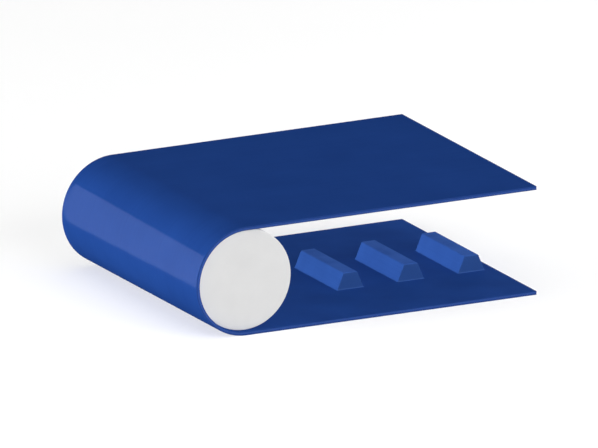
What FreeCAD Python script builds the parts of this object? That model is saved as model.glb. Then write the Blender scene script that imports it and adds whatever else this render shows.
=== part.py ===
"""Tail end of a light conveyor: a laminated PVC belt with guide lugs, wrapped round a grooved idler drum.

The drum turns on two flanged plain bushes on a fixed axle.  The axle is held at one side only, by a flange, so
that an endless belt can be slipped off over the plain end cap.  The belt is cut across at the end of its two runs.

Frame: the origin is the middle of the flange's mounting face.  X runs along the belt, away from the drum,
Y along the drum's axis, out of the mounting face, and Z points up.  Sizes are in millimetres.
"""

import FreeCAD
import Part
import Sketcher

import os
from collections import namedtuple

# A round side of an outline: its centre, its radius and its sense
Arc = namedtuple("Arc", "centre radius clockwise")

LUG_COUNT = 3
BOLT_COUNT = 4
FULL_TURN = 360.0

SIZES = {
    # Belt, from the running side outwards
    "belt_width": 170.0,
    "run_length": 187.0,
    "running_cover": 0.3,
    "fabric_ply": 0.4,
    "interlayer": 0.3,
    "top_cover": 0.8,
    "wrap_gap": 0.25,
    # Guide lugs, cut from an extruded profile and welded to the running side of the lower run
    "lug_base": 17.0,
    "lug_top": 8.6,
    "lug_height": 10.0,
    "lug_length": 54.0,
    "lug_pitch": 39.0,
    "lug_end_margin": 15.0,
    "lug_side_shift": 5.0,
    "lug_edge_radius": 0.6,
    # Drum: two shells on a core tube, with a groove between them that lets the lugs pass
    "drum_recess": 3.0,
    "groove_depth_clearance": 3.0,
    "groove_side_clearance": 2.0,
    "shell_wall": 2.5,
    "disc_thickness": 4.0,
    "core_wall": 5.5,
    # Plain end cap
    "cap_thickness": 3.0,
    "cap_edge_chamfer": 0.5,
    "cap_spigot_depth": 8.0,
    "cap_spigot_wall": 2.5,
    "cap_room": 4.0,
    # Flanged plain bushes, pressed into the core tube
    "running_fit": 0.05,
    "bush_wall": 1.45,
    "bush_length": 21.0,
    "bush_flange_thickness": 1.5,
    "bush_flange_height": 3.5,
    "end_float": 0.3,
    # Axle, its flange, and the washer and retaining ring on its free end
    "axle_diameter": 20.0,
    "axle_chamfer": 0.8,
    "axle_tail": 2.5,
    "collar_height": 4.0,
    "washer_thickness": 2.0,
    "washer_height": 4.5,
    "clip_thickness": 1.2,
    "clip_depth": 0.5,
    "clip_band": 2.6,
    "clip_opening": 40.0,
    "flange_diameter": 44.0,
    "flange_thickness": 8.0,
    "flange_belt_gap": 4.0,
    "pilot_length": 5.0,
    "bolt_circle": 33.0,
    "bolt_hole": 4.2,
}

# Radii about the drum's axis
AXLE_R = "(size.axle_diameter / 2)"
COLLAR_R = f"({AXLE_R} + size.collar_height)"
CLIP_SEAT_R = f"({AXLE_R} - size.clip_depth)"
BUSH_BORE_R = f"({AXLE_R} + size.running_fit)"
SEAT_R = f"({BUSH_BORE_R} + size.bush_wall)"
CORE_R = f"({SEAT_R} + size.core_wall)"
DRUM_R = f"({CORE_R} + size.lug_height + size.groove_depth_clearance)"
SHELL_BORE_R = f"({DRUM_R} - size.shell_wall)"

# Radii of the belt's layers about the drum's axis, from the running side outwards
RUNNING_R = f"({DRUM_R} + size.wrap_gap)"
INNER_PLY_R = f"({RUNNING_R} + size.running_cover)"
INTERLAYER_R = f"({INNER_PLY_R} + size.fabric_ply)"
OUTER_PLY_R = f"({INTERLAYER_R} + size.interlayer)"
TOP_COVER_R = f"({OUTER_PLY_R} + size.fabric_ply)"
BELT_R = f"({TOP_COVER_R} + size.top_cover)"

# Places along the drum's axis: the mounting face is at 0 and the end cap on the negative side
FLANGE_BACK = "(-size.flange_thickness)"
BELT_FAR = f"({FLANGE_BACK} - size.flange_belt_gap)"
BELT_NEAR = f"({BELT_FAR} - size.belt_width)"
DRUM_FAR = f"({BELT_FAR} - size.drum_recess)"
DRUM_NEAR = f"({BELT_NEAR} + size.drum_recess)"
LUG_MIDDLE = f"(({BELT_FAR} + {BELT_NEAR}) / 2 - size.lug_side_shift)"
LUG_FAR = f"({LUG_MIDDLE} + size.lug_length / 2)"
GROOVE_FAR = f"({LUG_FAR} + size.groove_side_clearance)"
GROOVE_NEAR = f"({LUG_FAR} - size.lug_length - size.groove_side_clearance)"
COLLAR_FACE = f"({DRUM_FAR} + size.end_float)"
CORE_FAR = f"({DRUM_FAR} - size.bush_flange_thickness)"
SHELL_NEAR = f"({DRUM_NEAR} + size.cap_thickness)"
AXLE_NEAR = f"({SHELL_NEAR} + size.cap_room)"
CLIP_NEAR = f"({AXLE_NEAR} + size.axle_tail)"
WASHER_NEAR = f"({CLIP_NEAR} + size.clip_thickness)"
WASHER_FAR = f"({WASHER_NEAR} + size.washer_thickness)"
BUSH_NEAR = f"({WASHER_FAR} + size.end_float)"
CORE_NEAR = f"({BUSH_NEAR} + size.bush_flange_thickness)"


def make_sheet(doc):
    """Writes the driving dimensions to a sheet, each in a cell with its name as alias."""
    sheet = doc.addObject("Spreadsheet::Sheet", "size")
    for row, (alias, value) in enumerate(SIZES.items(), start=1):
        sheet.set(f"A{row}", alias)
        sheet.set(f"B{row}", str(value))
        sheet.setAlias(f"B{row}", alias)
    doc.recompute()
    return sheet


def origin_feature(body, role):
    """Returns one of a body's own origin planes or axes."""
    return next(feature for feature in body.Origin.OriginFeatures if feature.Role == role)


def new_body(doc, label):
    """Adds an empty body with that label."""
    body = doc.addObject("PartDesign::Body", label)
    body.Label = label
    return body


def new_sketch(body, name, plane):
    """Adds a sketch on one of the body's origin planes."""
    sketch = body.newObject("Sketcher::SketchObject", name)
    sketch.AttachmentSupport = (origin_feature(body, plane), "")
    sketch.MapMode = "FlatFace"
    return sketch


def bind(sketch, constraint, expression):
    """Adds a dimension to a sketch and ties it to an expression of the sheet's cells."""
    index = sketch.addConstraint(constraint)
    sketch.setExpression(f"Constraints[{index}]", expression)


def place_along(sketch, geometry, end, direction, expression):
    """Dimensions one point of a sketch from the origin, in one direction, or puts it on the sketch's axis."""
    if expression == "0":
        level_axis, upright_axis = -1, -2
        axis = upright_axis if direction == "DistanceX" else level_axis
        sketch.addConstraint(Sketcher.Constraint("PointOnObject", geometry, end, axis))
        return
    value = float(sketch.evalExpression(expression))
    bind(sketch, Sketcher.Constraint(direction, -1, 1, geometry, end, value), expression)


def place_point(sketch, geometry, end, across, up):
    """Dimensions one point of a sketch from the sketch's origin."""
    place_along(sketch, geometry, end, "DistanceX", across)
    place_along(sketch, geometry, end, "DistanceY", up)


def sketch_point(sketch, across, up):
    """Returns the point that two expressions give with the sheet's present sizes."""
    return FreeCAD.Vector(float(sketch.evalExpression(across)), float(sketch.evalExpression(up)))


def draw_side(sketch, start, end, arc):
    """Draws one side of an outline, straight unless an arc is given."""
    if arc is None:
        sketch.addGeometry(Part.LineSegment(start, end), False)
        return
    centre = sketch_point(sketch, *arc.centre)
    circle = Part.Circle(centre, FreeCAD.Vector(0, 0, 1), (start - centre).Length)
    first, last = (end, start) if arc.clockwise else (start, end)
    sketch.addGeometry(Part.ArcOfCircle(circle, circle.parameter(first), circle.parameter(last)), False)


def draw_outline(sketch, corners, arcs=None):
    """Draws a closed outline through dimensioned corners.

    A corner is a pair of expressions.  arcs maps the number of the corner that an arc starts from to the arc;
    all other sides are straight.  Where a side meets an arc, the arc's radius gives the height.
    """
    arcs = arcs or {}
    count = len(corners)
    points = [sketch_point(sketch, across, up) for across, up in corners]
    for index, start in enumerate(points):
        draw_side(sketch, start, points[(index + 1) % count], arcs.get(index))

    def start_of(index):
        """Returns the number that the sketch gives to a side's starting point."""
        return 2 if index in arcs and arcs[index].clockwise else 1

    for index in range(count):
        following = (index + 1) % count
        finish = 3 - start_of(index)
        sketch.addConstraint(
            Sketcher.Constraint("Coincident", index, finish, following, start_of(following))
        )
    for index, (across, up) in enumerate(corners):
        place_along(sketch, index, start_of(index), "DistanceX", across)
        if index not in arcs and (index - 1) % count not in arcs:
            place_along(sketch, index, start_of(index), "DistanceY", up)
    for index, arc in arcs.items():
        place_point(sketch, index, 3, *arc.centre)
        value = float(sketch.evalExpression(arc.radius))
        bind(sketch, Sketcher.Constraint("Radius", index, value), arc.radius)


def draw_circle(sketch, across, up, radius):
    """Draws a circle with a dimensioned centre and radius."""
    value = float(sketch.evalExpression(radius))
    circle = Part.Circle(sketch_point(sketch, across, up), FreeCAD.Vector(0, 0, 1), value)
    geometry = sketch.addGeometry(circle, False)
    place_point(sketch, geometry, 3, across, up)
    bind(sketch, Sketcher.Constraint("Radius", geometry, value), radius)


def turn(body, corners, angle=None):
    """Turns an outline of (place along the axis, radius) corners about the drum's axis."""
    sketch = new_sketch(body, f"{body.Label}_profile", "YZ_Plane")
    draw_outline(sketch, corners)
    revolution = body.newObject("PartDesign::Revolution", f"{body.Label}_turning")
    revolution.Profile = sketch
    revolution.ReferenceAxis = (origin_feature(body, "Y_Axis"), [""])
    if angle is None:
        revolution.Angle = FULL_TURN
    else:
        revolution.Midplane = True
        revolution.setExpression("Angle", angle)
    return revolution


def turned_part(doc, label, corners):
    """Makes a body that is one turned piece."""
    body = new_body(doc, label)
    turn(body, corners)
    return body


def ring_corners(start, end, inner, outer):
    """Returns the outline of a plain ring between two places along the axis."""
    return [(start, inner), (end, inner), (end, outer), (start, outer)]


def pad_across(body, sketch, far_side, width):
    """Pads a sketch of the XZ plane from a place along the axis towards the end cap."""
    sketch.setExpression("AttachmentOffset.Base.z", f"-({far_side})")
    pad = body.newObject("PartDesign::Pad", f"{body.Label}_{sketch.Name}_pad")
    pad.Profile = sketch
    pad.setExpression("Length", width)
    return pad


def make_belt_layer(doc, label, inner, outer):
    """Makes one layer of the belt: two straight runs and the half turn round the drum."""
    body = new_body(doc, label)
    sketch = new_sketch(body, f"{label}_section", "XZ_Plane")
    cut_end = "size.run_length"
    centre = ("0", "0")
    corners = [
        (cut_end, outer),
        ("0", outer),
        ("0", f"-{outer}"),
        (cut_end, f"-{outer}"),
        (cut_end, f"-{inner}"),
        ("0", f"-{inner}"),
        ("0", inner),
        (cut_end, inner),
    ]
    outer_start, inner_start = 1, 5
    arcs = {
        outer_start: Arc(centre, outer, clockwise=False),
        inner_start: Arc(centre, inner, clockwise=True),
    }
    draw_outline(sketch, corners, arcs)
    pad_across(body, sketch, BELT_FAR, "size.belt_width")
    return body


def make_lug(doc, index):
    """Makes one guide lug: a length of trapezium profile across the belt, with rounded crest edges."""
    body = new_body(doc, f"guide_lug_{index + 1}")
    places_from_end = LUG_COUNT - 1 - index
    middle = f"(size.run_length - size.lug_end_margin - {places_from_end} * size.lug_pitch)"
    foot = f"-{RUNNING_R}"
    crest = f"(size.lug_height - {RUNNING_R})"
    sketch = new_sketch(body, f"{body.Label}_section", "XZ_Plane")
    draw_outline(
        sketch,
        [
            (f"{middle} - size.lug_base / 2", foot),
            (f"{middle} + size.lug_base / 2", foot),
            (f"{middle} + size.lug_top / 2", crest),
            (f"{middle} - size.lug_top / 2", crest),
        ],
    )
    pad = pad_across(body, sketch, LUG_FAR, "size.lug_length")
    doc.recompute()
    foot_height = min(vertex.Point.z for vertex in pad.Shape.Vertexes)
    crest_edges = [
        f"Edge{number}"
        for number, edge in enumerate(pad.Shape.Edges, start=1)
        if edge.BoundBox.ZMin > foot_height + pad.Shape.BoundBox.ZLength / 2
        and edge.BoundBox.YLength > edge.BoundBox.XLength
    ]
    rounding = body.newObject("PartDesign::Fillet", f"{body.Label}_rounding")
    rounding.Base = (pad, crest_edges)
    rounding.setExpression("Radius", "size.lug_edge_radius")
    return body


def make_belt(doc):
    """Makes the belt's five bonded layers and its guide lugs."""
    layers = [
        ("belt_running_cover", RUNNING_R, INNER_PLY_R),
        ("belt_inner_ply", INNER_PLY_R, INTERLAYER_R),
        ("belt_interlayer", INTERLAYER_R, OUTER_PLY_R),
        ("belt_outer_ply", OUTER_PLY_R, TOP_COVER_R),
        ("belt_top_cover", TOP_COVER_R, BELT_R),
    ]
    parts = [make_belt_layer(doc, *layer) for layer in layers]
    return parts + [make_lug(doc, index) for index in range(LUG_COUNT)]


def make_tubes(doc):
    """Makes the core tube, bored for the bushes, and the two shells that carry the belt beside the lugs."""
    tubes = {
        "drum_core_tube": (CORE_NEAR, CORE_FAR, SEAT_R, CORE_R),
        "near_drum_shell": (SHELL_NEAR, GROOVE_NEAR, SHELL_BORE_R, DRUM_R),
        "far_drum_shell": (GROOVE_FAR, DRUM_FAR, SHELL_BORE_R, DRUM_R),
    }
    return [turned_part(doc, label, ring_corners(*tube)) for label, tube in tubes.items()]


def make_discs(doc):
    """Makes the three annular discs that hold the shells on the core tube."""
    places = {
        "near_groove_disc": (f"{GROOVE_NEAR} - size.disc_thickness", GROOVE_NEAR),
        "far_groove_disc": (GROOVE_FAR, f"{GROOVE_FAR} + size.disc_thickness"),
        "far_end_disc": (f"{CORE_FAR} - size.disc_thickness", CORE_FAR),
    }
    return [
        turned_part(doc, label, ring_corners(start, end, CORE_R, SHELL_BORE_R))
        for label, (start, end) in places.items()
    ]


def make_end_cap(doc):
    """Makes the plain end cap: a full-diameter face and a spigot that plugs the near shell."""
    spigot_end = f"({SHELL_NEAR} + size.cap_spigot_depth)"
    spigot_bore_r = f"({SHELL_BORE_R} - size.cap_spigot_wall)"
    corners = [
        (DRUM_NEAR, "0"),
        (SHELL_NEAR, "0"),
        (SHELL_NEAR, spigot_bore_r),
        (spigot_end, spigot_bore_r),
        (spigot_end, SHELL_BORE_R),
        (SHELL_NEAR, SHELL_BORE_R),
        (SHELL_NEAR, DRUM_R),
        (f"{DRUM_NEAR} + size.cap_edge_chamfer", DRUM_R),
        (DRUM_NEAR, f"{DRUM_R} - size.cap_edge_chamfer"),
    ]
    return turned_part(doc, "near_end_cap", corners)


def make_bushes(doc):
    """Makes the two flanged bushes; each flange takes the drum's end thrust outside the core tube's end."""
    flange_r = f"({SEAT_R} + size.bush_flange_height)"
    parts = []
    for label, seat, inward in (("near_bush", CORE_NEAR, "+"), ("far_bush", CORE_FAR, "-")):
        outward = "-" if inward == "+" else "+"
        face = f"({seat} {outward} size.bush_flange_thickness)"
        inner_end = f"({seat} {inward} size.bush_length)"
        corners = [
            (face, BUSH_BORE_R),
            (inner_end, BUSH_BORE_R),
            (inner_end, SEAT_R),
            (seat, SEAT_R),
            (seat, flange_r),
            (face, flange_r),
        ]
        parts.append(turned_part(doc, label, corners))
    return parts


def make_retaining_ring(doc):
    """Makes the open spring ring in the axle's groove."""
    body = new_body(doc, "retaining_ring")
    ring = ring_corners(CLIP_NEAR, WASHER_NEAR, CLIP_SEAT_R, f"{CLIP_SEAT_R} + size.clip_band")
    turn(body, ring, angle=f"{FULL_TURN} - size.clip_opening")
    return body


def make_axle(doc):
    """Makes the fixed axle: a journal for the bushes, a collar, and the mounting flange with its pilot."""
    body = new_body(doc, "axle")
    chamfer = "size.axle_chamfer"
    flange_r = "size.flange_diameter / 2"
    corners = [
        (AXLE_NEAR, "0"),
        (AXLE_NEAR, f"{AXLE_R} - {chamfer}"),
        (f"{AXLE_NEAR} + {chamfer}", AXLE_R),
        (CLIP_NEAR, AXLE_R),
        (CLIP_NEAR, CLIP_SEAT_R),
        (WASHER_NEAR, CLIP_SEAT_R),
        (WASHER_NEAR, AXLE_R),
        (COLLAR_FACE, AXLE_R),
        (COLLAR_FACE, COLLAR_R),
        (FLANGE_BACK, COLLAR_R),
        (FLANGE_BACK, flange_r),
        ("0", flange_r),
        ("0", AXLE_R),
        (f"size.pilot_length - {chamfer}", AXLE_R),
        ("size.pilot_length", f"{AXLE_R} - {chamfer}"),
        ("size.pilot_length", "0"),
    ]
    turn(body, corners)
    doc.recompute()
    sketch = new_sketch(body, "bolt_hole_circle", "XZ_Plane")
    diagonal = "size.bolt_circle / 2 * sqrt(0.5)"
    draw_circle(sketch, diagonal, diagonal, "size.bolt_hole / 2")
    hole = body.newObject("PartDesign::Pocket", "bolt_hole")
    hole.Profile = sketch
    hole.Reversed = True
    hole.setExpression("Length", "size.flange_thickness")
    doc.recompute()
    holes = body.newObject("PartDesign::PolarPattern", "bolt_holes")
    holes.Originals = [hole]
    holes.Axis = (origin_feature(body, "Y_Axis"), [""])
    holes.Angle = FULL_TURN
    holes.Occurrences = BOLT_COUNT
    body.Tip = holes
    return body


def make_axle_fittings(doc):
    """Makes the thrust washer and the retaining ring on the axle's free end."""
    washer = ring_corners(WASHER_NEAR, WASHER_FAR, AXLE_R, f"{AXLE_R} + size.washer_height")
    return [turned_part(doc, "thrust_washer", washer), make_retaining_ring(doc)]


def make_drum(doc):
    """Makes the pieces that turn together as the drum."""
    return [
        *make_tubes(doc),
        *make_discs(doc),
        make_end_cap(doc),
        *make_bushes(doc),
    ]


def check(doc, parts):
    """Stops the build if an object failed or a sub-part's shape is empty or invalid."""
    for item in doc.Objects:
        if {"Invalid", "Error"} & set(item.State):
            raise RuntimeError(f"{item.Label} failed: {item.State}")
    for part in parts:
        if part.Shape.isNull() or not part.Shape.isValid() or not part.Shape.Solids:
            raise RuntimeError(f"{part.Label} has no valid solid")


def main():
    """Builds the assembly and writes each sub-part to a file of its own."""
    doc = FreeCAD.newDocument("belt_end")
    make_sheet(doc)
    parts = [*make_belt(doc), *make_drum(doc), make_axle(doc), *make_axle_fittings(doc)]
    doc.recompute()
    check(doc, parts)
    os.makedirs("parts", exist_ok=True)
    for part in parts:
        part.Shape.exportStep(f"parts/{part.Label}.step")
        print(f"{part.Label}: {len(part.Shape.Solids)} solid(s), {part.Shape.Volume / 1000:.2f} cm3")


main()
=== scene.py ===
"""Looks of a belt end: a laminated belt with guide lugs, round a grooved idler drum on a flanged axle.

The part's sizes are in millimetres and are turned into metres where Blender takes them.  The lights, the
floor's width and the camera's distance are in metres.  X runs along the belt, away from the drum, Y along
the drum's axis, out of the mounting face, and Z points up.
"""

from __future__ import annotations

import logging
import math
from abc import ABC, abstractmethod
from contextlib import contextmanager
from dataclasses import dataclass
from enum import Enum
from typing import Iterator, Mapping, Sequence, Union

import bmesh
import bpy
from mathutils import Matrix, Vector


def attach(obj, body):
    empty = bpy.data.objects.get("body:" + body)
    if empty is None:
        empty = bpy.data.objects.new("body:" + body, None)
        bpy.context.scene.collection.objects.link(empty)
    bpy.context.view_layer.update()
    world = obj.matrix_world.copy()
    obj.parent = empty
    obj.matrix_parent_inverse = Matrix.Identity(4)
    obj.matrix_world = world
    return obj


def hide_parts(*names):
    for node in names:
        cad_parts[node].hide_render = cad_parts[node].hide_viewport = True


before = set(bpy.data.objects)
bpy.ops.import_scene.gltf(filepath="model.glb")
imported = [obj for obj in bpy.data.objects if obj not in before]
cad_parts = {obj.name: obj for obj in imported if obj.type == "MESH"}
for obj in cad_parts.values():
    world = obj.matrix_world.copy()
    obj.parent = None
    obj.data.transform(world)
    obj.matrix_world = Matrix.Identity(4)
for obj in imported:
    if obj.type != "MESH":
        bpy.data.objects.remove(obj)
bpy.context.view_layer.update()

LOG = logging.getLogger("belt_end")
MM = 0.001

# Faces round a turned piece, and the distance in metres below which two points are one
ROUND_STEPS = 160
MERGE_DISTANCE = 1e-6

# Slack in millimetres of what lies at one height
LEVEL_SLACK = 0.01

# Edges that bend more than the first angle are rounded, and those under the second are shaded smoothly
ROUNDED_FROM = math.radians(35.0)
SMOOTH_UP_TO = math.radians(50.0)

# Refractive index of the film on the PVC, and the middle of a noise
FILM_INDEX = 4.0
NOISE_MIDDLE = 0.5

# Sizes that a shape shares with its finish or with the studio, in millimetres
RUN_LENGTH = 187.0
BELT_WIDTH = 170.0
BELT_MIDDLE = -97.0
BELT_INNER = 30.25
BELT_OUTER = 32.45
YARN_PITCH = 1.1
LUG_LENGTH = 54.0
LUG_HEIGHT = 10.0
LUG_MIDDLE = -102.0
BOLT_RADIUS = 16.5
FLANGE_BACK = -8.0

Colour = tuple[float, float, float, float]
Pair = tuple[float, float]
Point = tuple[float, float, float]
Number = Union["Signal", float]


class Body(Enum):
    """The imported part's bodies."""

    BELT = "belt_and_axle"
    DRUM = "drum"


class Slot(Enum):
    """The record's material slots."""

    TOP_PVC = "belt_top_pvc"
    RUNNING_PVC = "belt_running_pvc"
    FABRIC = "belt_fabric"
    LUG_PVC = "lug_pvc"
    CAP_PLASTIC = "cap_plastic"
    ALUMINIUM = "drum_aluminium"
    BUSH_POLYMER = "bush_polymer"
    AXLE_STEEL = "axle_steel"


class Role(Enum):
    """What a softbox is there for."""

    LIGHT = "lights surfaces without showing in them"
    CARD = "shows in shiny surfaces without lighting them"
    BOTH = "lights surfaces and shows in them"


# Finishes


def grey(level: float) -> Colour:
    """Gives a linear grey, from 0 for black to 1 for white."""
    return (level, level, level, 1.0)


def paint(red: int, green: int, blue: int) -> Colour:
    """Turns a colour as a screen shows it into the linear colour that a shader takes.

    Args:
        red: Red, from 0 to 255.
        green: Green, from 0 to 255.
        blue: Blue, from 0 to 255.

    Returns:
        The linear colour with full alpha.
    """
    linear = []
    # The screen's curve is straight near black and a power above that
    for value in (red / 255, green / 255, blue / 255):
        linear.append(value / 12.92 if value <= 0.04045 else ((value + 0.055) / 1.055) ** 2.4)
    return (*linear, 1.0)


@dataclass(frozen=True)
class Signal:
    """A number that flows from one node's output, with the sums that add Math nodes."""

    sheet: "NodeSheet"
    socket: bpy.types.NodeSocket

    def __add__(self, other: Number) -> "Signal":
        """Adds a number."""
        return self.sheet.maths("ADD", self, other)

    def __radd__(self, other: Number) -> "Signal":
        """Adds to a number."""
        return self.sheet.maths("ADD", other, self)

    def __sub__(self, other: Number) -> "Signal":
        """Takes a number away."""
        return self.sheet.maths("SUBTRACT", self, other)

    def __rsub__(self, other: Number) -> "Signal":
        """Takes this away from a number."""
        return self.sheet.maths("SUBTRACT", other, self)

    def __mul__(self, other: Number) -> "Signal":
        """Multiplies by a number."""
        return self.sheet.maths("MULTIPLY", self, other)

    def __truediv__(self, other: Number) -> "Signal":
        """Divides by a number."""
        return self.sheet.maths("DIVIDE", self, other)

    def __abs__(self) -> "Signal":
        """Drops the sign."""
        return self.sheet.maths("ABSOLUTE", self)

    def sine(self) -> "Signal":
        """Gives the sine of an angle in radians."""
        return self.sheet.maths("SINE", self)

    def root(self) -> "Signal":
        """Gives the square root."""
        return self.sheet.maths("SQRT", self)

    def over(self, level: float) -> "Signal":
        """Gives 1 above a level and 0 below it."""
        return self.sheet.maths("GREATER_THAN", self, level)

    def swing(self, reach: float) -> "Signal":
        """Gives how far a noise is off its middle, times a reach."""
        return (self - NOISE_MIDDLE) * reach

    def held(self) -> "Signal":
        """Holds the number between 0 and 1."""
        node = self.sheet.node("ShaderNodeClamp", {}, {"Value": self})
        return Signal(self.sheet, node.outputs["Result"])


class NodeSheet:
    """The nodes of one finish or of the room."""

    def __init__(self, tree: bpy.types.NodeTree) -> None:
        """Clears a node tree for use.

        Args:
            tree: The tree to fill.
        """
        self.tree = tree
        self.tree.nodes.clear()

    def node(
        self, kind: str, settings: Mapping[str, object], sockets: Mapping[str, object]
    ) -> bpy.types.Node:
        """Adds a node.

        Args:
            kind: The node's type.
            settings: Its own settings, which are set first.
            sockets: A value or a Signal for each socket, by the socket's identifier or name.

        Returns:
            The new node.
        """
        made = self.tree.nodes.new(kind)
        for key, value in settings.items():
            setattr(made, key, value)
        for key, value in sockets.items():
            socket = next((s for s in made.inputs if s.identifier == key), None) or made.inputs[key]
            if isinstance(value, Signal):
                self.tree.links.new(value.socket, socket)
            else:
                socket.default_value = value
        return made

    def maths(self, operation: str, first: Number, second: Number = 0.0) -> Signal:
        """Adds a Math node.

        Args:
            operation: The node's operation.
            first: The first number.
            second: The second number, for an operation that takes two.

        Returns:
            The result.
        """
        sockets = {"Value": first, "Value_001": second}
        made = self.node("ShaderNodeMath", {"operation": operation}, sockets)
        return Signal(self, made.outputs["Value"])

    def blend(self, share: Signal, first: Union[Colour, Signal], second: Union[Colour, Signal]) -> Signal:
        """Mixes two colours.

        Args:
            share: 0 for the first colour and 1 for the second.
            first: The first colour.
            second: The second colour.

        Returns:
            The mixed colour.
        """
        made = self.node(
            "ShaderNodeMix",
            {"data_type": "RGBA"},
            {"Factor_Float": share, "A_Color": first, "B_Color": second},
        )
        socket = next(s for s in made.outputs if s.identifier == "Result_Color")
        return Signal(self, socket)

    def seen(self) -> Signal:
        """Tells what shows, straight or in something shiny or clear, from what only throws light back.

        Returns:
            1 for what shows and 0 for the rest.
        """
        rays = self.node("ShaderNodeLightPath", {}, {}).outputs
        straight, shiny, clear = (
            Signal(self, rays[f"Is {kind} Ray"]) for kind in ("Camera", "Glossy", "Transmission")
        )
        return (straight + shiny + clear).held()


class FinishSheet(NodeSheet):
    """The nodes of one finish, with the place on the part that they read."""

    def __init__(self, name: str) -> None:
        """Starts an empty material.

        Args:
            name: The material's name.
        """
        self.material = bpy.data.materials.new(name)
        self.material.use_nodes = True
        super().__init__(self.material.node_tree)
        source = self.node("ShaderNodeTexCoord", {}, {})
        self.place = Signal(self, source.outputs["Object"])
        split = self.node("ShaderNodeSeparateXYZ", {}, {"Vector": self.place})
        self.x, self.y, self.z = (Signal(self, split.outputs[axis]) for axis in "XYZ")

    def radius(self) -> Signal:
        """Gives the distance from the drum's axis, in metres."""
        return (self.x * self.x + self.z * self.z).root()

    def yarns(self, along: Signal) -> Signal:
        """Gives a wave along a measure in metres, with a crest for each yarn of the belt's cloth."""
        return (along * (2 * math.pi / (YARN_PITCH * MM))).sine()

    def noise(self, stretch: Point, detail: float = 2.0) -> Signal:
        """Adds soft noise.

        Args:
            stretch: Waves in a metre, along X, Y and Z.
            detail: How many finer layers it has.

        Returns:
            The noise, from 0 to 1 and mostly near the middle.
        """
        scaled = self.node(
            "ShaderNodeVectorMath",
            {"operation": "MULTIPLY"},
            {"Vector": self.place, "Vector_001": stretch},
        )
        made = self.node(
            "ShaderNodeTexNoise",
            {"noise_dimensions": "3D"},
            {"Vector": Signal(self, scaled.outputs["Vector"]), "Scale": 1.0, "Detail": detail},
        )
        return Signal(self, made.outputs["Fac"])

    def lines(self, along: Signal, waves: float, detail: float = 2.0) -> Signal:
        """Adds noise that changes along one measure only, such as turning marks.

        Args:
            along: The measure, in metres.
            waves: Waves in a metre.
            detail: How many finer layers it has.

        Returns:
            The noise, from 0 to 1.
        """
        made = self.node(
            "ShaderNodeTexNoise",
            {"noise_dimensions": "1D"},
            {"W": along, "Scale": waves, "Detail": detail},
        )
        return Signal(self, made.outputs["Fac"])

    def bump(self, height: Signal, depth: float) -> Signal:
        """Adds a surface relief.

        Args:
            height: The relief, from about 0 to 1.
            depth: How deep it is, in millimetres.

        Returns:
            The bent normal.
        """
        made = self.node("ShaderNodeBump", {}, {"Height": height, "Distance": depth * MM, "Strength": 1.0})
        return Signal(self, made.outputs["Normal"])

    def surface(self, sockets: Mapping[str, object]) -> None:
        """Ends the sheet with the shader.

        Args:
            sockets: A value or a Signal for each of the shader's sockets.
        """
        shader = self.node("ShaderNodeBsdfPrincipled", {}, sockets)
        self.node("ShaderNodeOutputMaterial", {}, {"Surface": Signal(self, shader.outputs["BSDF"])})


class Finish(ABC):
    """A finish that several pieces can share.

    In each of them relief is the depth of the surface's marks in millimetres, shine is the specular level,
    and film is how much of the surface the waxy film covers at the least.
    """

    name: str

    def material(self) -> bpy.types.Material:
        """Makes the material the first time, and gives the same one after that.

        Returns:
            The material.
        """
        ready = bpy.data.materials.get(self.name)
        if ready:
            return ready
        sheet = FinishSheet(self.name)
        self.lay(sheet)
        return sheet.material

    @abstractmethod
    def lay(self, sheet: FinishSheet) -> None:
        """Lays the finish's nodes on a sheet."""


def waxy_film(cover: Number, roughness: float) -> dict[str, Number]:
    """Gives the sockets of a thin film on matt PVC, whose faint sheen is much the same at every angle.

    Args:
        cover: How much of the surface it covers, from 0 to 1.
        roughness: How rough it is.

    Returns:
        A value for each of the shader's sockets.
    """
    return {
        "Specular IOR Level": 0.0,
        "Coat Weight": cover,
        "Coat Roughness": roughness,
        "Coat IOR": FILM_INDEX,
    }


@dataclass(frozen=True)
class SmoothPvc(Finish):
    """Calendered PVC of the carrying side: cloudy, with a fine grain and faint marks along the travel.

    Its cut edges have the slit colour, which also paints light on them, reaching in from them by the rim, in
    millimetres.
    """

    name: str = "smooth_carrying_pvc"
    deep: Colour = paint(20, 49, 107)
    fresh: Colour = paint(26, 58, 121)
    slit_and_edge_light: Colour = paint(39, 69, 137)
    rim: float = 0.2
    roughness: float = 0.5
    film: float = 0.0042
    film_roughness: float = 0.22
    relief: float = 0.02

    def lay(self, sheet: FinishSheet) -> None:
        """Lays the clouding, the marks along the travel, the paler cut edges with their painted edge light,
        and the grain.

        Args:
            sheet: The sheet to fill.
        """
        cloud = sheet.noise((30, 30, 30), 3.0)
        drag = sheet.noise((7, 520, 7), 3.0)
        grain = sheet.noise((2600, 2600, 2600))
        reach = abs(sheet.y - BELT_MIDDLE * MM)
        side = ((reach - (BELT_WIDTH / 2 - self.rim) * MM) / (self.rim * MM)).held()
        end = ((sheet.x - (RUN_LENGTH - self.rim) * MM) / (self.rim * MM)).held()
        tone = (NOISE_MIDDLE + cloud.swing(0.9) + drag.swing(0.5)).held()
        colour = sheet.blend(tone, self.deep, self.fresh)
        # Paler slit colour on the cut faces: partly the knife-cut face, partly painted light on the belt's
        # edges
        colour = sheet.blend((side + end).held() * (0.6 + drag * 0.5), colour, self.slit_and_edge_light)
        sheet.surface(
            {
                "Base Color": colour,
                "Roughness": self.roughness + drag.swing(0.16) + cloud.swing(0.1),
                "Normal": sheet.bump(grain * 0.7 + drag * 0.3, self.relief),
                **waxy_film(self.film + drag * 0.0021 + cloud * 0.0015, self.film_roughness),
            }
        )


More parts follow.
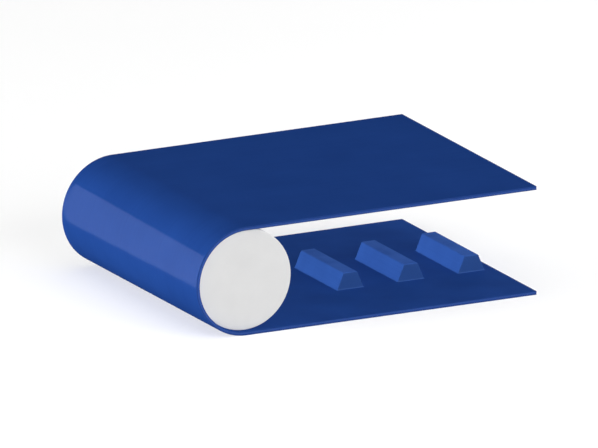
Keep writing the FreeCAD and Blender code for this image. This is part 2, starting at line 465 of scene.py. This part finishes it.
@dataclass(frozen=True)
class ImpressedPvc(Finish):
    """PVC of the running side, with the print of the cloth under it."""

    name: str = "cloth_printed_running_pvc"
    deep: Colour = paint(25, 54, 114)
    fresh: Colour = paint(31, 64, 130)
    roughness: float = 0.55
    film: float = 0.006
    film_roughness: float = 0.45
    relief: float = 0.03

    def lay(self, sheet: FinishSheet) -> None:
        """Lays the clouding and the woven print.

        Args:
            sheet: The sheet to fill.
        """
        cloud = sheet.noise((35, 35, 35), 3.0)
        uneven = sheet.noise((160, 900, 160))
        weave = sheet.yarns(sheet.x) * sheet.yarns(sheet.y)
        tone = (NOISE_MIDDLE + cloud.swing(1.4) + weave * 0.12).held()
        sheet.surface(
            {
                "Base Color": sheet.blend(tone, self.deep, self.fresh),
                "Roughness": self.roughness + uneven.swing(0.2),
                "Normal": sheet.bump(NOISE_MIDDLE + weave * 0.4 + uneven.swing(0.4), self.relief),
                **waxy_film(self.film + uneven * 0.012, self.film_roughness),
            }
        )


@dataclass(frozen=True)
class CutCloth(Finish):
    """Polyester cloth of a ply, seen where the belt is slit: yarn ends in blue PVC."""

    name: str = "slit_polyester_cloth"
    yarn: Colour = paint(53, 86, 159)
    filler: Colour = paint(40, 71, 142)
    roughness: float = 0.7
    shine: float = 0.1
    relief: float = 0.05

    def lay(self, sheet: FinishSheet) -> None:
        """Lays the row of yarn ends along the slit edges and the cut ends.

        Args:
            sheet: The sheet to fill.
        """
        across = sheet.yarns(sheet.y)
        along = sheet.yarns(sheet.x + sheet.z)
        uneven = sheet.noise((700, 700, 700))
        ends = (NOISE_MIDDLE + across * 0.3 + along * 0.3 + uneven.swing(0.8)).held()
        sheet.surface(
            {
                "Base Color": sheet.blend(ends, self.filler, self.yarn),
                "Roughness": self.roughness + uneven.swing(0.2),
                "Specular IOR Level": self.shine,
                "Normal": sheet.bump(ends, self.relief),
            }
        )


@dataclass(frozen=True)
class SlitPvc(Finish):
    """PVC between the plies, cut with a rolling knife."""

    name: str = "slit_tie_pvc"
    dark: Colour = paint(39, 70, 140)
    light: Colour = paint(47, 79, 150)
    roughness: float = 0.5
    shine: float = 0.15
    relief: float = 0.01

    def lay(self, sheet: FinishSheet) -> None:
        """Lays the knife's fine marks.

        Args:
            sheet: The sheet to fill.
        """
        marks = sheet.noise((500, 500, 60))
        sheet.surface(
            {
                "Base Color": sheet.blend(marks, self.dark, self.light),
                "Roughness": self.roughness + marks.swing(0.3),
                "Specular IOR Level": self.shine,
                "Normal": sheet.bump(marks, self.relief),
            }
        )


@dataclass(frozen=True)
class ExtrudedPvc(Finish):
    """Profile PVC of the lugs: die lines along the profile, a rubbed crest that is also a painted highlight
    on the lug tops, and sawn ends.

    Attributes:
        rub: How far down from the crest the rub and its painted highlight reach, in millimetres.
        kerf: How far in from the ends the saw marks reach, in millimetres.
        saw: How close the saw marks are, in radians in a metre along X and Z.
    """

    name: str = "extruded_lug_pvc"
    base: Colour = paint(41, 75, 143)
    pale: Colour = paint(45, 83, 156)
    rubbed_and_top_light: Colour = paint(66, 101, 175)
    sawn: Colour = paint(44, 76, 133)
    roughness: float = 0.42
    film: float = 0.009
    film_roughness: float = 0.35
    relief: float = 0.02
    rub: float = 0.5
    kerf: float = 0.1
    saw: Pair = (4200.0, 2600.0)

    def lay(self, sheet: FinishSheet) -> None:
        """Lays the die lines, the rub and painted highlight on the crest, and the saw marks on the ends.

        Args:
            sheet: The sheet to fill.
        """
        die = sheet.noise((1300, 9, 1300))
        cloud = sheet.noise((70, 70, 70), 3.0)
        crest = ((sheet.z - (LUG_HEIGHT - BELT_INNER - self.rub) * MM) / (self.rub * MM)).held()
        end = (abs(sheet.y - LUG_MIDDLE * MM) / ((LUG_LENGTH / 2 - self.kerf) * MM)).over(1.0)
        marks = (sheet.x * self.saw[0] + sheet.z * self.saw[1] + cloud.swing(9.0)).sine()
        tone = (NOISE_MIDDLE + cloud.swing(1.5) + die.swing(0.7)).held()
        colour = sheet.blend(tone, self.base, self.pale)
        # Paler crest: partly rub, partly a painted highlight that lightens the lug tops
        colour = sheet.blend(crest * (cloud - 0.1).held() * 0.8, colour, self.rubbed_and_top_light)
        colour = sheet.blend(end * (0.6 + marks * 0.1), colour, self.sawn)
        sheet.surface(
            {
                "Base Color": colour,
                "Roughness": self.roughness + die.swing(0.2) + end * 0.16,
                "Normal": sheet.bump(die * (1.0 - end) + (0.5 + marks * 0.5) * end, self.relief),
                **waxy_film(self.film + die * 0.008, self.film_roughness),
            }
        )


@dataclass(frozen=True)
class MouldedPlastic(Finish):
    """Pale grey moulded plastic with a spark-eroded grain and faint rings from its turned mould."""

    name: str = "moulded_cap_plastic"
    shade: Colour = paint(219, 219, 219)
    light: Colour = paint(228, 228, 228)
    roughness: float = 0.55
    shine: float = 0.3
    relief: float = 0.015

    def lay(self, sheet: FinishSheet) -> None:
        """Lays the grain, the mould's rings and a little handling.

        Args:
            sheet: The sheet to fill.
        """
        rings = sheet.lines(sheet.radius(), 2200.0)
        grain = sheet.noise((2300, 2300, 2300))
        smudge = sheet.noise((55, 55, 55), 4.0)
        tone = (NOISE_MIDDLE + smudge.swing(1.4) + rings.swing(0.3)).held()
        sheet.surface(
            {
                "Base Color": sheet.blend(tone, self.shade, self.light),
                "Roughness": self.roughness + smudge.swing(0.25),
                "Specular IOR Level": self.shine,
                "Normal": sheet.bump(grain * 0.6 + rings * 0.4, self.relief),
            }
        )


@dataclass(frozen=True)
class TurnedMetal(Finish):
    """Bare metal with the marks of the lathe round the drum's axis, one for each feed in millimetres."""

    name: str
    dull: Colour
    bright: Colour
    roughness: float
    feed: float = 0.18
    relief: float = 0.008

    def lay(self, sheet: FinishSheet) -> None:
        """Lays the lathe's marks and a thin uneven film.

        Args:
            sheet: The sheet to fill.
        """
        marks = sheet.lines(sheet.y + sheet.radius(), 1.0 / (self.feed * MM), 3.0)
        film = sheet.noise((60, 60, 60), 4.0)
        tone = (NOISE_MIDDLE + film.swing(1.2) + marks.swing(0.8)).held()
        sheet.surface(
            {
                "Base Color": self.colour(sheet, tone),
                "Metallic": 1.0,
                "Roughness": self.roughness + marks.swing(0.18) + film.swing(0.12),
                "Normal": sheet.bump(marks, self.relief),
            }
        )

    def colour(self, sheet: FinishSheet, tone: Signal) -> Signal:
        """Mixes the dull and the bright metal.

        Args:
            sheet: The sheet to fill.
            tone: 0 for dull and 1 for bright.

        Returns:
            The metal's colour.
        """
        return sheet.blend(tone, self.dull, self.bright)


@dataclass(frozen=True)
class TappedSteel(TurnedMetal):
    """Turned steel whose four tapped holes are darkened by cutting oil and painted shade, as far as a reach
    in millimetres.
    """

    oil_and_shade: Colour = paint(56, 56, 57)
    reach: float = 2.6

    def colour(self, sheet: FinishSheet, tone: Signal) -> Signal:
        """Darkens the threads with cutting oil and painted shade.

        Args:
            sheet: The sheet to fill.
            tone: 0 for dull and 1 for bright.

        Returns:
            The metal's colour.
        """
        side = BOLT_RADIUS * math.sqrt(0.5) * MM
        across, rise = abs(sheet.x) - side, abs(sheet.z) - side
        outside = (across * across + rise * rise).root().over(self.reach * MM)
        # Darker tapped holes: partly cutting oil, partly painted shade in the recesses
        shaded_thread = (1.0 - outside) * sheet.y.over(FLANGE_BACK * MM)
        return sheet.blend(shaded_thread, super().colour(sheet, tone), self.oil_and_shade)


@dataclass(frozen=True)
class FilledPolymer(Finish):
    """Dark filled bearing polymer with pale flecks."""

    name: str = "filled_bush_polymer"
    base: Colour = paint(58, 60, 62)
    fleck: Colour = paint(104, 106, 106)
    roughness: float = 0.5
    shine: float = 0.35
    relief: float = 0.01

    def lay(self, sheet: FinishSheet) -> None:
        """Lays the flecks of the filler and the moulded grain.

        Args:
            sheet: The sheet to fill.
        """
        flecks = ((sheet.noise((1500, 1500, 1500), 1.0) - 0.6) * 6.0).held()
        cloud = sheet.noise((120, 120, 120), 3.0)
        sheet.surface(
            {
                "Base Color": sheet.blend(flecks * 0.6, self.base, self.fleck),
                "Roughness": self.roughness + cloud.swing(0.2),
                "Specular IOR Level": self.shine,
                "Normal": sheet.bump(cloud * 0.5 + flecks * 0.5, self.relief),
            }
        )


ALUMINIUM = TurnedMetal("turned_aluminium", paint(186, 188, 191), paint(216, 217, 219), 0.36)
AXLE_STEEL = TappedSteel("turned_axle_steel", paint(150, 152, 156), paint(182, 184, 187), 0.3, 0.12)
WASHER_STEEL = TurnedMetal("ground_washer_steel", paint(164, 165, 167), paint(188, 189, 190), 0.26, 0.08)
SPRING_STEEL = TurnedMetal("blackened_spring_steel", paint(62, 63, 66), paint(84, 85, 88), 0.38, 0.08)


# Modelling


def deselect() -> None:
    """Leaves no object selected."""
    bpy.ops.object.select_all(action="DESELECT")


def hold(piece: bpy.types.Object) -> None:
    """Selects one piece alone and makes it the active one.

    Args:
        piece: The piece to work on.
    """
    deselect()
    piece.select_set(True)
    bpy.context.view_layer.objects.active = piece


def claim(name: str) -> bpy.types.Object:
    """Names the primitive that was just added, and puts its place, turn and scale into its mesh.

    Args:
        name: The piece's name.

    Returns:
        The piece.
    """
    piece = bpy.context.active_object
    piece.name = name
    piece.data.name = name
    hold(piece)
    bpy.ops.object.transform_apply(location=True, rotation=True, scale=True)
    return piece


@contextmanager
def editing(piece: bpy.types.Object) -> Iterator[None]:
    """Opens a piece in edit mode with all of it selected, and closes it again.

    Args:
        piece: The piece to edit.
    """
    hold(piece)
    bpy.ops.object.mode_set(mode="EDIT")
    bpy.ops.mesh.select_all(action="SELECT")
    yield
    bpy.ops.object.mode_set(mode="OBJECT")


def pick_level(piece: bpy.types.Object, level: float) -> None:
    """Selects the edges at one height, in edit mode.

    Args:
        piece: The piece that is being edited.
        level: The height, in millimetres.
    """
    bpy.ops.mesh.select_mode(type="EDGE")
    bpy.ops.mesh.select_all(action="DESELECT")
    mesh = bmesh.from_edit_mesh(piece.data)
    for edge in mesh.edges:
        edge.select_set(all(abs(end.co.z / MM - level) < LEVEL_SLACK for end in edge.verts))
    bmesh.update_edit_mesh(piece.data)


def pull(x: float, y: float, z: float) -> None:
    """Extrudes what is selected.

    Args:
        x: How far along X, in millimetres.
        y: How far along Y, in millimetres.
        z: How far along Z, in millimetres.
    """
    bpy.ops.mesh.extrude_region_move(TRANSFORM_OT_translate={"value": (x * MM, y * MM, z * MM)})


def widen(x: float, y: float, z: float, centre: Point) -> None:
    """Scales what is selected about a point.

    Args:
        x: The scale along X.
        y: The scale along Y.
        z: The scale along Z.
        centre: The point that stays, in millimetres.
    """
    bpy.ops.transform.resize(value=(x, y, z), center_override=tuple(c * MM for c in centre))


def close_skin() -> None:
    """Merges doubled points in edit mode and turns the faces outwards."""
    bpy.ops.mesh.select_all(action="SELECT")
    bpy.ops.mesh.remove_doubles(threshold=MERGE_DISTANCE)
    bpy.ops.mesh.normals_make_consistent(inside=False)


def round_edges(piece: bpy.types.Object, width: float, segments: int) -> None:
    """Rounds a piece's sharp edges.

    Args:
        piece: The piece.
        width: How wide the rounding is, in millimetres.
        segments: How many faces cross the rounding.
    """
    hold(piece)
    bevel = piece.modifiers.new("edge_round", "BEVEL")
    bevel.width = width * MM
    bevel.segments = segments
    bevel.limit_method = "ANGLE"
    bevel.angle_limit = ROUNDED_FROM
    bpy.ops.object.modifier_apply(modifier=bevel.name)


def even_shading(piece: bpy.types.Object) -> None:
    """Shades a piece smoothly, with flat faces that stay flat and edges that stay sharp.

    Args:
        piece: The piece.
    """
    hold(piece)
    bpy.ops.object.shade_smooth_by_angle(angle=SMOOTH_UP_TO)
    even = piece.modifiers.new("even_shading", "WEIGHTED_NORMAL")
    even.keep_sharp = True
    bpy.ops.object.modifier_apply(modifier=even.name)


def soften(piece: bpy.types.Object, width: float, segments: int = 3) -> None:
    """Rounds a piece's sharp edges and evens its shading.

    Args:
        piece: The piece.
        width: How wide the rounding is, in millimetres.
        segments: How many faces cross the rounding.
    """
    round_edges(piece, width, segments)
    even_shading(piece)


def turned(
    name: str, outline: Sequence[Pair], bored: bool, steps: int = ROUND_STEPS
) -> bpy.types.Object:
    """Makes a round piece about the drum's axis, by pulling a circle along an outline.

    Args:
        name: The piece's name.
        outline: Corners in order, each a place along the axis and a radius, in millimetres.
        bored: True for a ring, whose outline comes back to its first corner.
        steps: How many faces go round it.

    Returns:
        The piece.
    """
    place, radius = outline[0]
    deselect()
    bpy.ops.mesh.primitive_circle_add(
        vertices=steps,
        radius=radius * MM,
        fill_type="NOTHING" if bored else "NGON",
        location=(0, place * MM, 0),
        rotation=(math.pi / 2, 0, 0),
    )
    piece = claim(name)
    with editing(piece):
        for next_place, next_radius in [*outline[1:], *(outline[:1] if bored else [])]:
            pull(0, next_place - place, 0)
            share = next_radius / radius
            widen(share, 1, share, (0, next_place, 0))
            place, radius = next_place, next_radius
        close_skin()
    return piece


def drill(piece: bpy.types.Object, cutter: bpy.types.Object) -> None:
    """Cuts one piece with another, which is used up.

    Args:
        piece: The piece to cut.
        cutter: The piece that cuts.
    """
    hold(piece)
    cut = piece.modifiers.new("drilled", "BOOLEAN")
    cut.operation = "DIFFERENCE"
    cut.solver = "EXACT"
    cut.object = cutter
    bpy.ops.object.modifier_apply(modifier=cut.name)
    bpy.data.objects.remove(cutter)


def copied(piece: bpy.types.Object, name: str, shift: Point) -> bpy.types.Object:
    """Copies a piece with a mesh of its own.

    Args:
        piece: The piece to copy.
        name: The copy's name.
        shift: How far the copy is moved, in millimetres.

    Returns:
        The copy.
    """
    hold(piece)
    bpy.ops.object.duplicate(linked=False)
    bpy.ops.transform.translate(value=tuple(s * MM for s in shift))
    return claim(name)


def fit(piece: bpy.types.Object, finish: Finish, body: Body, node: str) -> None:
    """Dresses a new piece and puts it in a node's place.

    Args:
        piece: The new piece.
        finish: Its finish.
        body: The body that it moves with.
        node: The node that it stands for.
    """
    piece.data.materials.clear()
    piece.data.materials.append(finish.material())
    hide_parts(node)
    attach(piece, body.value)
    LOG.info("%s stands for %s on %s", piece.name, node, body.value)


def dress_node(node: str, finish: Finish) -> None:
    """Gives a node that stays its finish.

    Args:
        node: The node.
        finish: Its finish.
    """
    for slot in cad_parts[node].material_slots:
        slot.material = finish.material()
    LOG.info("%s keeps its solid", node)


# Belt


@dataclass(frozen=True)
class Layer:
    """One layer of the belt.

    Attributes:
        name: The piece's name.
        node: The node that it stands for.
        inner: The radius of its running side on the drum, in millimetres.
        outer: The radius of its carrying side on the drum, in millimetres.
        edge: How far its edges are rounded, in millimetres.
        finish: Its finish.
        slot: The record's slot, which nothing here reads.
    """

    name: str
    node: str
    inner: float
    outer: float
    edge: float
    finish: Finish
    slot: Slot


@dataclass
class Belt:
    """The belt's five layers, each one strip round the drum.

    Both runs reach run_length past the drum's axis.  The middle of the belt's width lies at middle along Y.
    """

    run_length: float = RUN_LENGTH
    width: float = BELT_WIDTH
    middle: float = BELT_MIDDLE
    wrap_steps: int = 144
    edge_steps: int = 2
    layers: tuple[Layer, ...] = (
        Layer(
            "running_cover", "belt_running_cover", BELT_INNER, 30.55, 0.06, ImpressedPvc(), Slot.RUNNING_PVC
        ),
        Layer("inner_cloth", "belt_inner_ply", 30.55, 30.95, 0.09, CutCloth(), Slot.FABRIC),
        Layer("tie_layer", "belt_interlayer", 30.95, 31.25, 0.06, SlitPvc(), Slot.RUNNING_PVC),
        Layer("outer_cloth", "belt_outer_ply", 31.25, 31.65, 0.09, CutCloth(), Slot.FABRIC),
        Layer("carrying_cover", "belt_top_cover", 31.65, BELT_OUTER, 0.12, SmoothPvc(), Slot.TOP_PVC),
    )

    def strip(self, layer: Layer) -> bpy.types.Object:
        """Makes one layer: its section is pulled back along the upper run, round the drum and out again.

        Args:
            layer: The layer.

        Returns:
            The piece.
        """
        deselect()
        bpy.ops.mesh.primitive_plane_add(
            size=1.0,
            location=(self.run_length * MM, self.middle * MM, (layer.inner + layer.outer) / 2 * MM),
            rotation=(0, math.pi / 2, 0),
        )
        bpy.context.active_object.scale = ((layer.outer - layer.inner) * MM, self.width * MM, 1.0)
        piece = claim(layer.name)
        with editing(piece):
            pull(-self.run_length, 0, 0)
            bpy.ops.mesh.spin(
                steps=self.wrap_steps,
                angle=math.pi,
                center=(0, self.middle * MM, 0),
                axis=(0, 1, 0),
            )
            pull(self.run_length, 0, 0)
            close_skin()
        soften(piece, layer.edge, self.edge_steps)
        return piece

    def build(self) -> None:
        """Makes and dresses every layer."""
        for layer in self.layers:
            fit(self.strip(layer), layer.finish, Body.BELT, layer.node)


@dataclass
class GuideLugs:
    """The lugs on the running side of the lower run, sawn from an extruded profile and welded on.

    The first lug stands at first along X, and the middle of their length lies at middle along Y.  Each ring
    of the weld is a height over the foot and how far the bead stands out there.  At bead_top it has run out.
    """

    first: float = 94.0
    pitch: float = 39.0
    count: int = 3
    middle: float = LUG_MIDDLE
    base: float = 17.0
    top: float = 8.6
    height: float = LUG_HEIGHT
    length: float = LUG_LENGTH
    foot: float = -BELT_INNER
    crest_radius: float = 0.7
    crest_steps: int = 4
    edge: float = 0.15
    edge_steps: int = 2
    weld: tuple[Pair, ...] = ((0.0, 0.4), (0.15, 0.2), (0.4, 0.06))
    bead_top: float = 0.9
    finish: Finish = ExtrudedPvc()

    def profile(self) -> bpy.types.Object:
        """Makes the first lug: a tapered bar with a rounded crest and a small weld bead round its foot.

        Returns:
            The piece.
        """
        deselect()
        bpy.ops.mesh.primitive_cube_add(
            size=1.0,
            location=(self.first * MM, self.middle * MM, (self.foot + self.height / 2) * MM),
            scale=(self.base * MM, self.length * MM, self.height * MM),
        )
        piece = claim("welded_lug_1")
        crest = self.foot + self.height
        with editing(piece):
            pick_level(piece, crest)
            widen(self.top / self.base, 1, 1, (self.first, self.middle, crest))
            for rise in (self.bead_top, *(height for height, _ in self.weld if height)):
                bpy.ops.mesh.select_all(action="SELECT")
                bpy.ops.mesh.bisect(plane_co=(0, 0, (self.foot + rise) * MM), plane_no=(0, 0, 1))
            for rise, spread in self.weld:
                level = self.foot + rise
                pick_level(piece, level)
                wide, long = 1 + 2 * spread / self.base, 1 + 2 * spread / self.length
                widen(wide, long, 1, (self.first, self.middle, level))
            pick_level(piece, crest)
            bpy.ops.mesh.bevel(offset=self.crest_radius * MM, segments=self.crest_steps, affect="EDGES")
            close_skin()
        soften(piece, self.edge, self.edge_steps)
        return piece

    def build(self) -> None:
        """Makes the first lug, copies it along the belt and dresses them all."""
        first = self.profile()
        lugs = [first]
        for index in range(1, self.count):
            lugs.append(copied(first, f"welded_lug_{index + 1}", (self.pitch * index, 0, 0)))
        for index, lug in enumerate(lugs, start=1):
            fit(lug, self.finish, Body.BELT, f"guide_lug_{index}")


# Drum and axle


@dataclass
class Drum:
    """The drum: two shells on discs and a core tube, a plain end cap and the bush that shows at the back.

    Faces, ends and the sides of the groove are places along Y.  The seat is the core tube's bore, which
    holds the bushes.  An edge is how far the edges of that piece are rounded.
    """

    radius: float = 30.0
    bore: float = 27.5
    core: float = 17.0
    seat: float = 11.5
    near_face: float = -179.0
    cap_back: float = -176.0
    spigot_end: float = -168.0
    spigot_bore: float = 25.0
    groove_near: float = -131.0
    groove_far: float = -73.0
    disc: float = 4.0
    core_near: float = -164.5
    core_far: float = -16.5
    far_face: float = -15.0
    bush_bore: float = 10.05
    bush_flange: float = 15.0
    bush_end: float = -37.5
    cap_edge: float = 0.5
    cap_edge_steps: int = 4
    tube_edge: float = 0.4
    disc_edge: float = 0.2
    bush_edge: float = 0.25

    def build_cap(self) -> None:
        """Makes the end cap with its spigot."""
        cap = turned(
            "plain_end_cap",
            [
                (self.near_face, self.radius),
                (self.cap_back, self.radius),
                (self.cap_back, self.bore),
                (self.spigot_end, self.bore),
                (self.spigot_end, self.spigot_bore),
                (self.cap_back, self.spigot_bore),
            ],
            bored=False,
        )
        soften(cap, self.cap_edge, self.cap_edge_steps)
        fit(cap, MouldedPlastic(), Body.DRUM, "near_end_cap")

    def build_rings(self) -> None:
        """Makes the shells, the core tube, and the discs at both sides of the groove and at the far end."""
        tubes = {
            "near_drum_shell": (self.cap_back, self.groove_near, self.bore, self.radius),
            "far_drum_shell": (self.groove_far, self.far_face, self.bore, self.radius),
            "drum_core_tube": (self.core_near, self.core_far, self.seat, self.core),
        }
        discs = {
            "near_groove_disc": (self.groove_near - self.disc, self.groove_near, self.core, self.bore),
            "far_groove_disc": (self.groove_far, self.groove_far + self.disc, self.core, self.bore),
            "far_end_disc": (self.core_far - self.disc, self.core_far, self.core, self.bore),
        }
        for rings, edge in ((tubes, self.tube_edge), (discs, self.disc_edge)):
            for node, (near, far, inner, outer) in rings.items():
                outline = [(near, outer), (far, outer), (far, inner), (near, inner)]
                piece = turned(f"turned_{node}", outline, bored=True)
                soften(piece, edge)
                fit(piece, ALUMINIUM, Body.DRUM, node)

    def build_bush(self) -> None:
        """Makes the far bush with its flange."""
        bush = turned(
            "far_flanged_bush",
            [
                (self.far_face, self.bush_bore),
                (self.far_face, self.bush_flange),
                (self.core_far, self.bush_flange),
                (self.core_far, self.seat),
                (self.bush_end, self.seat),
                (self.bush_end, self.bush_bore),
            ],
            bored=True,
        )
        soften(bush, self.bush_edge)
        fit(bush, FilledPolymer(), Body.DRUM, "far_bush")

    def build(self) -> None:
        """Makes and dresses the drum."""
        self.build_cap()
        self.build_rings()
        self.build_bush()
        dress_node("near_bush", FilledPolymer())


@dataclass
class Axle:
    """The fixed axle with its collar, mounting flange and pilot, and the fittings on its free end.

    Faces and ends are places along Y, with the mounting face at 0.  The clip is the retaining ring, in its
    groove.  The first hole is an angle from X, in degrees.  A cutter reaches past the flange by overcut.
    """

    radius: float = 10.0
    chamfer: float = 0.8
    near_end: float = -172.0
    clip_near: float = -169.5
    clip_far: float = -168.3
    clip_seat: float = 9.5
    collar_face: float = -14.7
    collar: float = 14.0
    flange_back: float = FLANGE_BACK
    flange: float = 22.0
    pilot_end: float = 5.0
    bolt_radius: float = BOLT_RADIUS
    hole_count: int = 4
    first_hole: float = 45.0
    hole: float = 2.1
    thread_root: float = 2.45
    thread_pitch: float = 0.8
    hole_chamfer: float = 2.75
    hole_steps: int = 48
    overcut: float = 0.5
    edge: float = 0.3
    edge_steps: int = 2

    def hole_cutter(self, index: int) -> bpy.types.Object:
        """Makes the shape of one tapped hole: a countersink, the thread's turns and a plain way out.

        Args:
            index: Which of the holes, from 0.

        Returns:
            The piece that cuts.
        """
        lead = self.hole_chamfer - self.hole
        outline = [(self.overcut, self.hole_chamfer + self.overcut), (-lead, self.hole)]
        place = -lead
        while place - self.thread_pitch > self.flange_back:
            outline.append((place - self.thread_pitch / 2, self.thread_root))
            place -= self.thread_pitch
            outline.append((place, self.hole))
        outline.append((self.flange_back - self.overcut, self.hole))
        cutter = turned(f"hole_cutter_{index}", outline, bored=False, steps=self.hole_steps)
        angle = math.radians(self.first_hole + 360 / self.hole_count * index)
        shift = (self.bolt_radius * math.cos(angle) * MM, 0, self.bolt_radius * math.sin(angle) * MM)
        hold(cutter)
        bpy.ops.transform.translate(value=shift)
        bpy.ops.object.transform_apply(location=True)
        return cutter

    def build(self) -> None:
        """Makes the axle, taps its flange, and dresses it and its fittings."""
        tip = self.radius - self.chamfer
        axle = turned(
            "flanged_axle",
            [
                (self.near_end, tip),
                (self.near_end + self.chamfer, self.radius),
                (self.clip_near, self.radius),
                (self.clip_near, self.clip_seat),
                (self.clip_far, self.clip_seat),
                (self.clip_far, self.radius),
                (self.collar_face, self.radius),
                (self.collar_face, self.collar),
                (self.flange_back, self.collar),
                (self.flange_back, self.flange),
                (0.0, self.flange),
                (0.0, self.radius),
                (self.pilot_end - self.chamfer, self.radius),
                (self.pilot_end, tip),
            ],
            bored=False,
        )
        round_edges(axle, self.edge, self.edge_steps)
        for index in range(self.hole_count):
            drill(axle, self.hole_cutter(index))
        with editing(axle):
            close_skin()
        even_shading(axle)
        fit(axle, AXLE_STEEL, Body.BELT, "axle")
        dress_node("thrust_washer", WASHER_STEEL)
        dress_node("retaining_ring", SPRING_STEEL)


# Studio


def aimed(
    content: Union[bpy.types.Light, bpy.types.Camera], place: Vector, aim: Vector
) -> bpy.types.Object:
    """Puts a light or a camera in the scene.

    Args:
        content: The light or the camera.
        place: Where it stands, in metres.
        aim: The direction that it faces.

    Returns:
        The object that holds it.
    """
    holder = bpy.data.objects.new(content.name, content)
    holder.location = place
    holder.rotation_euler = aim.to_track_quat("-Z", "Y").to_euler()
    bpy.context.scene.collection.objects.link(holder)
    return holder


@dataclass(frozen=True)
class Softbox:
    """A rectangle of soft light.

    Attributes:
        name: Its name.
        place: Where it stands, in metres.
        target: The point that it faces, in metres.
        width: Its width, in metres.
        height: Its height, in metres.
        glow: How bright its face is, where 1 is white.
        role: What it is there for.
    """

    name: str
    place: Point
    target: Point
    width: float
    height: float
    glow: float
    role: Role = Role.BOTH

    def build(self) -> None:
        """Sets the light up."""
        lamp = bpy.data.lights.new(self.name, "AREA")
        lamp.shape = "RECTANGLE"
        lamp.size, lamp.size_y = self.width, self.height
        lamp.energy = self.glow * math.pi * self.width * self.height
        place = Vector(self.place)
        holder = aimed(lamp, place, Vector(self.target) - place)
        holder.visible_camera = False
        holder.visible_diffuse = self.role is not Role.CARD
        holder.visible_glossy = self.role is not Role.LIGHT


@dataclass(frozen=True)
class Fill:
    """A far, even fill from one side that throws no shadow.

    Attributes:
        name: Its name.
        source: The direction that it comes from.
        level: How bright it makes a white surface that faces it.
        distance: How far off it is, in metres.
        spread: How wide its face is, in metres.
    """

    name: str
    source: Point
    level: float
    distance: float = 4.0
    spread: float = 1.4

    def build(self) -> None:
        """Sets the light up."""
        lamp = bpy.data.lights.new(self.name, "AREA")
        lamp.shape = "DISK"
        lamp.size = self.spread
        lamp.energy = self.level * (math.pi * self.distance) ** 2
        lamp.use_shadow = False
        source = Vector(self.source)
        holder = aimed(lamp, source.normalized() * self.distance, -source)
        holder.visible_camera = False
        holder.visible_glossy = False


@dataclass
class Studio:
    """A plain pale floor, soft light, and the camera at the picture's angle, which has no perspective.

    The floor looks as pale as its tone but throws light back as its bounce says, where 1 is white.  The
    scale is millimetres to a pixel of the picture, which has axis_point, on the drum's axis, at axis_pixel.
    The last softbox shows as the pale band along the wrap.
    """

    floor_level: float = -BELT_OUTER
    floor_size: float = 24.0
    floor_tone: float = 1.0
    floor_bounce: float = 0.4
    room_glow: float = 0.04
    image_width: int = 598
    image_height: int = 448
    scale: float = 0.5746
    azimuth: float = -27.04
    elevation: float = 15.92
    axis_pixel: Pair = (246.7, 281.05)
    axis_point: Point = (0.0, BELT_MIDDLE - BELT_WIDTH / 2, 0.0)
    distance: float = 3.0
    softboxes: tuple[Softbox, ...] = (
        Softbox("overhead_box", (0.1, -0.3, 3.2), (0.06, -0.1, 0.0), 4.5, 4.5, 0.43),
        Softbox("front_box", (0.6, -2.6, 0.9), (0.06, -0.1, 0.0), 2.6, 1.6, 3.42),
        Softbox("left_box", (-2.4, 0.6, 0.4), (0.0, -0.1, 0.0), 2.4, 0.8, 7.36, Role.LIGHT),
        Softbox(
            name="band_strip",
            place=(-0.03388, -0.0967, 0.0085),
            target=(0.0, -0.0975, -0.00186),
            width=0.1686,
            height=0.0266,
            glow=20.0,
            role=Role.CARD,
        ),
    )
    fills: tuple[Fill, ...] = (
        Fill("left_fill", (-0.976, -0.1, 0.19), 1.29),
        Fill("right_fill", (0.9, -0.2, 0.38), 0.81),
        Fill("far_fill", (0.35, 0.93, 0.1), 0.4),
    )

    def build_floor(self) -> None:
        """Lays the floor, which looks paler than the light that it throws back on the part."""
        deselect()
        bpy.ops.mesh.primitive_plane_add(size=self.floor_size, location=(0, 0, self.floor_level * MM))
        floor = claim("studio_floor")
        sheet = FinishSheet("pale_floor")
        colour = sheet.blend(sheet.seen(), grey(self.floor_bounce), grey(self.floor_tone))
        sheet.surface({"Base Color": colour, "Roughness": 1.0, "Specular IOR Level": 0.0})
        floor.data.materials.append(sheet.material)

    def build_light(self) -> None:
        """Sets up the room, which looks white and glows faintly, the softboxes and the fills."""
        world = bpy.data.worlds.new("studio_room")
        world.use_nodes = True
        sheet = NodeSheet(world.node_tree)
        strength = self.room_glow + sheet.seen() * (1.0 - self.room_glow)
        room = sheet.node("ShaderNodeBackground", {}, {"Color": grey(1.0), "Strength": strength})
        sheet.node("ShaderNodeOutputWorld", {}, {"Surface": Signal(sheet, room.outputs["Background"])})
        bpy.context.scene.world = world
        for softbox in self.softboxes:
            softbox.build()
        for fill in self.fills:
            fill.build()

    def build_camera(self) -> None:
        """Sets up the camera so that the drum's axis falls where the picture has it."""
        azimuth, elevation = math.radians(self.azimuth), math.radians(self.elevation)
        right = Vector((math.cos(azimuth), math.sin(azimuth), 0))
        back = Vector(
            (
                math.sin(azimuth) * math.cos(elevation),
                -math.cos(azimuth) * math.cos(elevation),
                math.sin(elevation),
            )
        )
        up = back.cross(right)
        across = (self.image_width / 2 - self.axis_pixel[0]) * self.scale
        above = (self.axis_pixel[1] - self.image_height / 2) * self.scale
        middle = (Vector(self.axis_point) + right * across + up * above) * MM
        lens = bpy.data.cameras.new("studio_camera")
        lens.type = "ORTHO"
        lens.ortho_scale = self.image_width * self.scale * MM
        bpy.context.scene.camera = aimed(lens, middle + back * self.distance, -back)

    def build(self) -> None:
        """Sets the studio up."""
        self.build_camera()
        self.build_floor()
        self.build_light()
        bpy.context.scene.view_settings.view_transform = "Standard"


def main() -> None:
    """Builds the part piece by piece, then the studio."""
    logging.basicConfig(level=logging.INFO, format="%(message)s")
    Belt().build()
    GuideLugs().build()
    Drum().build()
    Axle().build()
    Studio().build()


if __name__ == "__main__":
    main()
